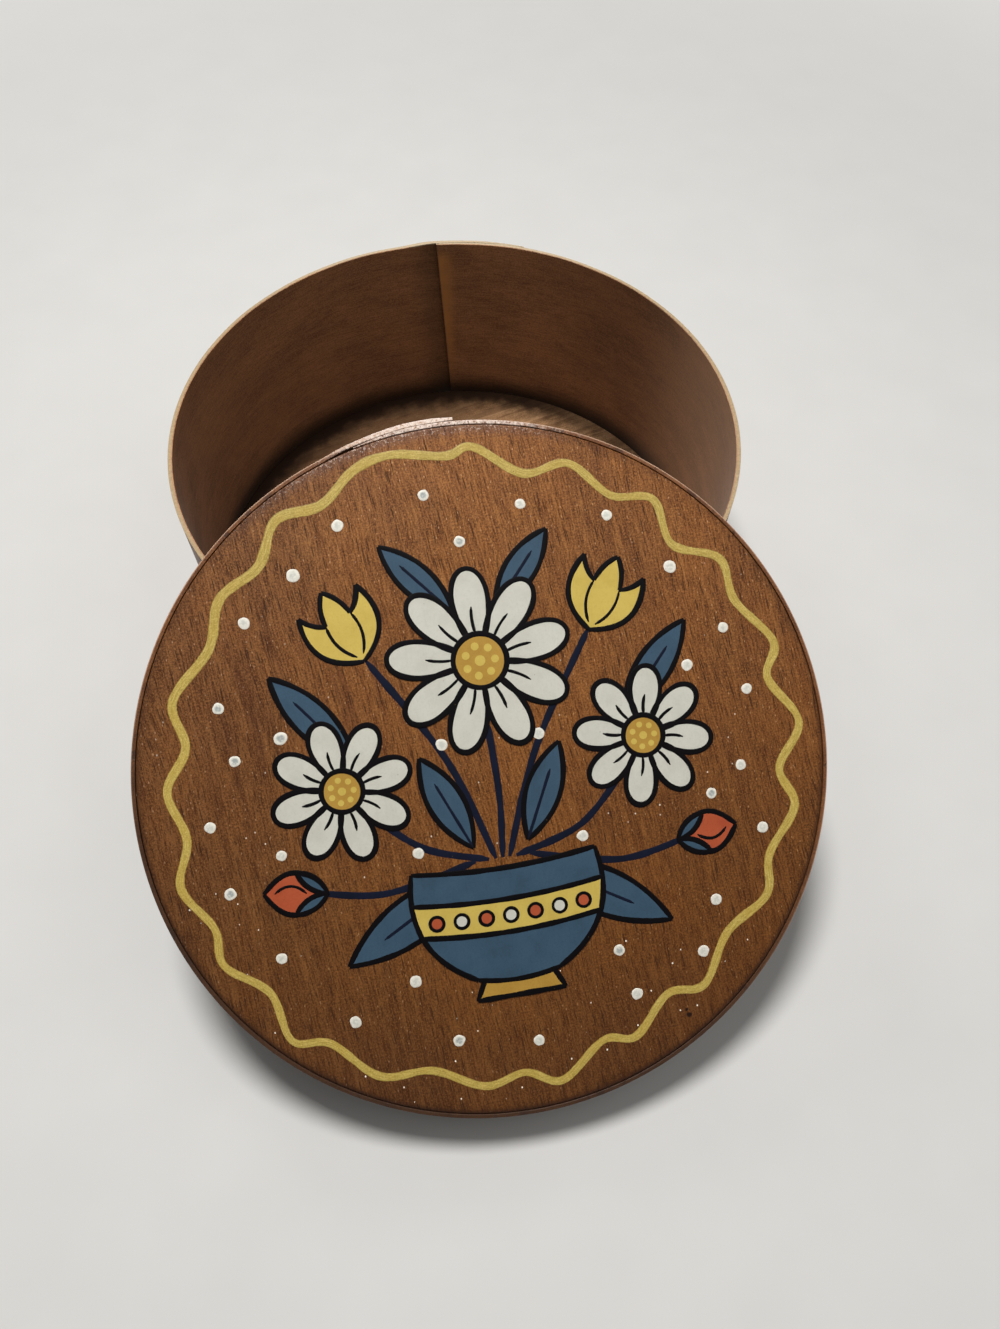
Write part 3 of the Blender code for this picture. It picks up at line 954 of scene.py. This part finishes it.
RING_TURNS = (
    (90, 91.5), (85, 93.5), (75.5, 86.5), (67.5, 92), (58, 87.5), (50.5, 92.5), (42.5, 85),
    (34, 92), (26, 88), (15.5, 92.5), (9.5, 87), (0, 93.5), (-8.5, 86.5), (-15.5, 92),
    (-25.5, 87.5), (-33, 91), (-43, 86), (-53.5, 90.5), (-60, 85), (-69.5, 90), (-75.5, 86.5),
    (-85, 93.5), (-91.5, 89), (-99, 92), (-109, 88.5), (-118, 93.5), (-128.5, 90.5),
    (-134.5, 95.5), (-143, 89), (-152, 93.5), (-158.5, 90), (-167.5, 93.5), (-175.5, 88),
    (-184.5, 91.5), (-192.5, 86.5), (-200.5, 92), (-211.5, 87), (-220.5, 91), (-229.5, 88),
    (-237.5, 94), (-245.5, 90), (-253.5, 94.5), (-260.5, 95),
)
# Its width, by angle in degrees
RING_WIDTHS = (
    (0, 2.7), (60, 2.45), (130, 3.05), (180, 2.5), (225, 2.3), (270, 2.4), (330, 2.65),
)


def ring(art):
    """One closed stroke, widest at the upper left."""
    turns = [(radians(degrees), radius) for degrees, radius in RING_TURNS]
    path = through([(radius * cos(angle), radius * sin(angle)) for angle, radius in turns], True)
    bearings = np.degrees(np.arctan2(path[:, 1], path[:, 0]))
    widths = np.interp(bearings, *zip(*RING_WIDTHS), period=360.0)
    art.stroke("ring", path, widths, 0, closed=True)


# Flowers in a bowl

# Each leaf's ends and swell
LEAVES = (
    ((-9, -29), (-48, -50), 6.5),
    ((9, -29), (47, -52), 6.5),
    ((-8, -22), (-20, 6), 5),
    ((8, -22), (21, 5), 5),
    ((-38, 8), (-59, 35), 5),
    ((41, 10), (63, 35), 5),
    ((-4, 46), (-23, 68), 4.4),
    ((8, 46), (26, 67), 4.4),
)
VEIN_SHARE = 0.72
# Points that each stem runs through
STEMS = (
    ((0, -26), (1.5, -8), (1, 14)),
    ((-4, -26), (-22, -20), (-36, -8)),
    ((4, -26), (24, -20), (39, -6)),
    ((-2, -26), (-12, 4), (-31, 36)),
    ((2, -26), (14, 4), (34, 36)),
    ((-8, -26), (-34, -31), (-53, -28)),
    ((8, -26), (34, -32), (54, -29)),
)
# Each flower's foot and heading
TULIPS = (((-31.5, 36), radians(114)), ((34.5, 36), radians(60)))
BUDS = (((-52, -28), radians(172)), ((53, -29), radians(6)))
# Each daisy's centre, radius, petals, first heading and layer
DAISIES = (
    ((-43, 0), 20.5, 8, 1, 3),
    ((46, 3), 20.5, 8, 0.6, 3),
    ((1.5, 31.5), 27, 9, 0.2, 4),
)


def leaf(art, start, end, swell):
    art.shape("blue", lens(start, end, swell), 1)
    start, end = np.array(start), np.array(end)
    vein = arc(start, start + (end - start) * VEIN_SHARE, 0.0)
    art.stroke("navy", vein, FINE_LINE, 1, thin=0.3)


# An upright tulip and its two folds
TULIP_CORNERS = (
    (0, 0), (-9.5, 20), (-4, 14), (0, 23), (4, 14), (9.5, 20), (0, 0),
)
TULIP_SWELLS = (5.5, -0.8, 0.9, 0.9, -0.8, 5.5)
TULIP_FOLD_TOP = (4, 14)
TULIP_FOLD_FOOT = (1, 2)
TULIP_FOLD_SWELL = 1.6


def tulip(art, foot, heading):
    ends = zip(TULIP_CORNERS, TULIP_CORNERS[1:], TULIP_SWELLS)
    sides = [arc(start, end, swell) for start, end, swell in ends]
    art.shape("yellow", [laid(side, foot, heading) for side in sides], 2)
    for side in (-1.0, 1.0):
        top, low = mirrored(TULIP_FOLD_TOP, side), mirrored(TULIP_FOLD_FOOT, side)
        fold = arc(top, low, TULIP_FOLD_SWELL * side)
        art.stroke("ink", laid(fold, foot, heading), FINE_LINE, 2, thin=0.4)


# An upright bud, its fold and its two sepals, by ends and swell
BUD = ((0, 0), (0, 17), 6)
BUD_FOLD = ((0, 14), (0, 5), 2.2)
SEPAL_FOOT = (0, -1)
SEPAL_TIP = (6, 8)
SEPAL_SWELL = 1.6


def bud(art, foot, heading):
    art.shape("red", [laid(side, foot, heading) for side in lens(*BUD)], 2)
    art.stroke("ink", laid(arc(*BUD_FOLD), foot, heading), FINE_LINE, 2, thin=0.4)
    for side in (-1.0, 1.0):
        sepal = lens(SEPAL_FOOT, mirrored(SEPAL_TIP, side), SEPAL_SWELL)
        art.shape("blue", [laid(edge, foot, heading) for edge in sepal], 3)


# A daisy's parts, as shares of its radius, of the eye's radius and of a petal
EYE_SHARE = 0.29
PETAL_FOOT_SHARE = 0.6
PETAL_WIDEST_SHARE = 0.62
PETAL_ROOM_SHARE = 0.88
PETAL_TURN_SHARE = 0.94
PETAL_FULLNESS = 0.22
PETAL_STEPS = 40
FOLD_SHARE = 0.36
FOLD_SWELL = 0.4
SEEDS = 7
SEED_RING_SHARE = 0.56
SEED_SHARE = 0.15
MIDDLE_SEED_SHARE = 0.2
SEED_LIFT = 1.3


def daisy(art, centre, radius, petals, first, layer):
    eye = radius * EYE_SHARE
    start = eye * PETAL_FOOT_SHARE
    length = radius - start
    breadth = PETAL_ROOM_SHARE * pi * radius * PETAL_WIDEST_SHARE / petals
    bend = np.linspace(-PETAL_TURN_SHARE * pi, PETAL_TURN_SHARE * pi, PETAL_STEPS)
    along = start + length * (1.0 + np.cos(bend)) / 2.0
    across = breadth * np.sin(bend) * (1.0 + PETAL_FULLNESS * np.cos(bend))
    petal = even(np.stack([across, along], axis=1))
    fold = arc((0.0, eye), (0.0, eye + length * FOLD_SHARE), FOLD_SWELL)
    for heading in first + np.arange(petals) * tau / petals:
        edge = laid(petal, centre, heading)
        art.patch("white", edge, layer)
        art.stroke("ink", edge, LINE, layer, thin=0.8)
        art.stroke("ink", laid(fold, centre, heading), FINE_LINE, layer, thin=0.35)
    art.roundel("ochre", centre, eye, layer + 1)
    for heading in np.linspace(0.0, tau, SEEDS, endpoint=False):
        seed = laid(((0.0, SEED_RING_SHARE * eye),), centre, heading)[0]
        art.patch("yellow", circle(seed, SEED_SHARE * eye), layer + SEED_LIFT)
    art.patch("yellow", circle(centre, MIDDLE_SEED_SHARE * eye), layer + SEED_LIFT)


# The bowl: its right side by ends and swell, the sag of its edges, and its foot's corners
BOWL_SIDE = ((27, -27), (12, -60), 7)
RIM_SAG = 2.0
UNDERSIDE_SAG = 1.5
FOOT_CORNERS = ((-9, -58), (9, -58), (13, -66), (-13, -66), (-9, -58))
BAND_TOP = -35.5
BAND_FOOT = -46.0
BEADS_ASIDE = 3
BEAD_SPACING = 7.2
BEAD_RADIUS = 2.0
BEAD_SAG = 0.09


def bowl(art):
    art.shape("ochre", [arc(*ends, 0.0) for ends in zip(FOOT_CORNERS, FOOT_CORNERS[1:])], 5)
    whole = arc(*BOWL_SIDE)
    band = whole[(whole[:, 1] < BAND_TOP) & (whole[:, 1] > BAND_FOOT)]
    for colour, right, sag, layer in (("blue", whole, UNDERSIDE_SAG, 6), ("yellow", band, RIM_SAG, 7)):
        left = mirrored(right[::-1], -1.0)
        edges = arc(left[-1], right[0], -RIM_SAG), arc(right[-1], left[0], sag)
        art.shape(colour, [edges[0], right, edges[1], left], layer)
    middle = (BAND_TOP + BAND_FOOT) / 2.0 - RIM_SAG
    for number in range(-BEADS_ASIDE, BEADS_ASIDE + 1):
        place = (number * BEAD_SPACING, middle + BEAD_SAG * number * number)
        art.roundel("red" if number % 2 else "white", place, BEAD_RADIUS, 8, FINE_LINE)


def flowers(art):
    for stem in STEMS:
        art.stroke("navy", through(stem), STEM, 0)
    for draw, places in ((leaf, LEAVES), (tulip, TULIPS), (bud, BUDS), (daisy, DAISIES)):
        for values in places:
            draw(art, *values)
    bowl(art)


# Dots strewn over the ground

DOTS = (
    (-8, 81), (-33.5, 75.5), (19.5, 75), (44.5, 68.5), (0.5, 66.5), (-63.5, 51.5), (-48, 63),
    (61, 51), (-74, 28.5), (74.5, 31), (-24, -21), (24, -23.5), (-71.5, 13), (79, 12),
    (-81, -4.5), (74, -10), (-78, -24), (78, -29.5), (-66.5, -44.5), (-30, -57.5),
    (30, -58.5), (61, -48.5), (-48.5, -66), (33.5, -72), (-20, -76.5), (3, -80.5),
    (-13, 9), (15.5, 8), (-58, 17.5), (62, 21.5), (55, -63), (-62.5, -15.5), (64, -17),
)
DOT_RADIUS = 1.72
DOT_UNEVEN = 0.25
DOT_WAVER = 0.16
DOT_SEED_STEP = 2.3
DOT_FACETS = 28
# Every fourth dot has a dimple. Profiles by share of the radius and height
DIMPLED_ONE_IN = 4
DOT_SIDE = ((0.7, 0.13), (0.88, 0.09), (0.97, 0.04), (1.0, -0.03))
DOMED = ((0.12, 0.15), (0.4, 0.145), *DOT_SIDE)
DIMPLED = ((0.10, 0.08), (0.24, 0.10), (0.42, 0.145), *DOT_SIDE)
GRIMY_SHARE = 0.5
DOME_GRIME = 0.32
DIMPLE_GRIME = 0.9


def dots():
    """Dabs of thick paint, not quite round, some with a dimple where the brush came away."""
    bm = bmesh.new()
    grime = bm.verts.layers.float.new(GRIME)
    for number, (x, y) in enumerate(DOTS):
        radius = DOT_RADIUS * (1.0 + DOT_UNEVEN * ripple(Vector((x, y, 0.0)) / UNEVEN_WAVE))
        dimpled = number % DIMPLED_ONE_IN == 0
        profile, smudge = (DIMPLED, DIMPLE_GRIME) if dimpled else (DOMED, DOME_GRIME)
        rings = []
        for share, rise in profile:
            rings.append([])
            for angle in np.arange(DOT_FACETS) * tau / DOT_FACETS:
                east, north = cos(angle), sin(angle)
                waver = DOT_WAVER * ripple(Vector((east, north, number * DOT_SEED_STEP)))
                reach = radius * share * (1.0 + waver)
                vert = bm.verts.new(((x + reach * east) * MM, (y + reach * north) * MM, rise * MM))
                vert[grime] = smudge * (share < GRIMY_SHARE)
                rings[-1].append(vert)
        for inner, outer in zip(rings, rings[1:]):
            for index in range(DOT_FACETS):
                bm.faces.new((inner[index - 1], inner[index], outer[index], outer[index - 1]))
        bm.faces.new(rings[0])
        bm.faces.new(rings[-1])
    return add_piece("paint_dots", bm, dot_paint(), ON_LID)


# Stage, in metres

FLOOR_REACH = 30.0
FLOOR_MOTTLE = 0.03
FLOOR_FAR = (0.26, 0.75)
BACKDROP = tone(230, 228, 225)
WORLD_STRENGTH = 0.15
LIT_PLACE = (0.0, -0.05, 0.05)
# Each lamp's name, place, width and power in watts
LAMPS = (
    ("ceiling", (-0.09, 0.08, 1.02), 0.24, 10.1),
    ("room", (0.55, -0.22, 0.95), 0.8, 1.7),
    ("window", (-0.42, 0.68, 0.76), 0.35, 1.0),
)


def seen_directly(shader):
    """1 for what the camera or a reflection sees, 0 for what lights the object."""
    path = shader.node("LightPath")
    return shader.math("MAXIMUM", path.outputs["Is Camera Ray"], path.outputs["Is Glossy Ray"])


def floor():
    """A pale floor, which stays as pale far off, where the lamps don't reach."""
    bm = bmesh.new()
    bmesh.ops.create_grid(bm, x_segments=1, y_segments=1, size=FLOOR_REACH)
    shader = Shader("pale_floor", roughness=0.85, gloss=0.2)
    shader.shade = shader.blend(shader.noise(FLOOR_MOTTLE), tone(204, 202, 198), tone(210, 208, 204))
    material = shader.finish()
    far = shader.rise(shader.reach(shader.place), *FLOOR_FAR)
    glow = shader.node("Emission")
    glow.inputs["Color"].default_value = BACKDROP
    mixed = shader.node("MixShader")
    shader.feed(mixed.inputs[0], shader.product(far, seen_directly(shader)))
    shader.feed(mixed.inputs[1], shader.surface.outputs["BSDF"])
    shader.feed(mixed.inputs[2], glow.outputs["Emission"])
    shader.feed(shader.tree.nodes["Material Output"].inputs["Surface"], mixed.outputs["Shader"])
    add_piece("stage_floor", bm, material)


def lights():
    for name, place, size, power in LAMPS:
        light = bpy.data.lights.new(name, "AREA")
        light.shape = "DISK"
        light.size = size
        light.energy = power
        lamp = bpy.data.objects.new(name, light)
        lamp.location = place
        lamp.rotation_euler = (Vector(LIT_PLACE) - Vector(place)).to_track_quat("-Z", "Y").to_euler()
        bpy.context.scene.collection.objects.link(lamp)


def surroundings():
    """Dim white light from all round, which the camera sees as a pale backdrop."""
    world = bpy.data.worlds.new("studio")
    world.use_nodes = True
    tree = world.node_tree
    dim = tree.nodes["Background"]
    dim.inputs["Color"].default_value = (1.0, 1.0, 1.0, 1.0)
    dim.inputs["Strength"].default_value = WORLD_STRENGTH
    pale = tree.nodes.new("ShaderNodeBackground")
    pale.inputs["Color"].default_value = BACKDROP
    path = tree.nodes.new("ShaderNodeLightPath")
    mixed = tree.nodes.new("ShaderNodeMixShader")
    tree.links.new(path.outputs["Is Camera Ray"], mixed.inputs[0])
    tree.links.new(dim.outputs["Background"], mixed.inputs[1])
    tree.links.new(pale.outputs["Background"], mixed.inputs[2])
    tree.links.new(mixed.outputs["Shader"], tree.nodes["World Output"].inputs["Surface"])
    bpy.context.scene.world = world


# Camera, fitted to the outlines of rim, floor and lid. Its yaw turns it to the right, its pitch down

IMAGE_HEIGHT = 1329.0
FOCAL_PIXELS = 995.9
SENSOR = 36.0
CLIP_START = 10.0 * MM
CAMERA_PLACE = (-0.07 * MM, -246.45 * MM, 335.28 * MM)
CAMERA_YAW = radians(3.857)
CAMERA_PITCH = radians(59.442)
CAMERA_ROLL = radians(0.845)


def camera():
    data = bpy.data.cameras.new("view")
    data.sensor_width = SENSOR
    data.lens = FOCAL_PIXELS * SENSOR / IMAGE_HEIGHT
    data.clip_start = CLIP_START
    obj = bpy.data.objects.new("view", data)
    aimed = Matrix.Rotation(-CAMERA_YAW, 4, "Z") @ Matrix.Rotation(pi / 2.0 - CAMERA_PITCH, 4, "X")
    rolled = Matrix.Rotation(CAMERA_ROLL, 4, "Z")
    obj.matrix_world = Matrix.Translation(CAMERA_PLACE) @ aimed @ rolled
    bpy.context.scene.collection.objects.link(obj)
    bpy.context.scene.camera = obj


# Assembly


def place(piece, body, slot=None, replaced=None):
    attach(piece, body)
    if replaced:
        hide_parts(replaced)


def make_base():
    wall = bent_hoop("base_wall", BASE_HOOP, 0.0, FLOOR_THICKNESS, base_wall_wood(), IN_WORLD, True)
    cut_for_brads(wall, [name for name in nodes if name.startswith("base_brad")], IN_WORLD)
    place(wall, "base", "stained_wall", "base_band")
    bottom = disc("base_bottom", FLOOR_RADIUS, FLOOR_THICKNESS, 0.0, FLOOR_ROUNDING, floor_wood(), IN_WORLD)
    place(bottom, "base", "stained_floor", "base_floor")


def make_lid():
    disc_face = LID_DEPTH - PANEL_THICKNESS
    wall = bent_hoop("lid_wall", LID_HOOP, -LID_DEPTH, disc_face, lid_wall_wood(), ON_LID, False)
    cut_for_brads(wall, [name for name in nodes if name.startswith("lid_brad")], ON_LID)
    place(wall, "lid", "stained_lid_wall", "lid_band")
    radius = PANEL_RADIUS + PANEL_FILL
    top = disc("lid_top", radius, PANEL_THICKNESS, -PANEL_THICKNESS, PANEL_ROUNDING, panel_wood(), ON_LID)
    place(top, "lid", "stained_lid_panel", "lid_panel")


def make_brads():
    metal = brad_metal()
    for name, node in nodes.items():
        if "brad" in name:
            node.data.materials.clear()
            node.data.materials.append(metal)


def make_painting():
    art = Paintwork()
    ring(art)
    flowers(art)
    for piece in art.pieces():
        place(piece, "lid")
    place(dots(), "lid")


make_base()
make_lid()
make_brads()
make_painting()
floor()
lights()
surroundings()
camera()
bpy.context.scene.view_settings.view_transform = "Standard"
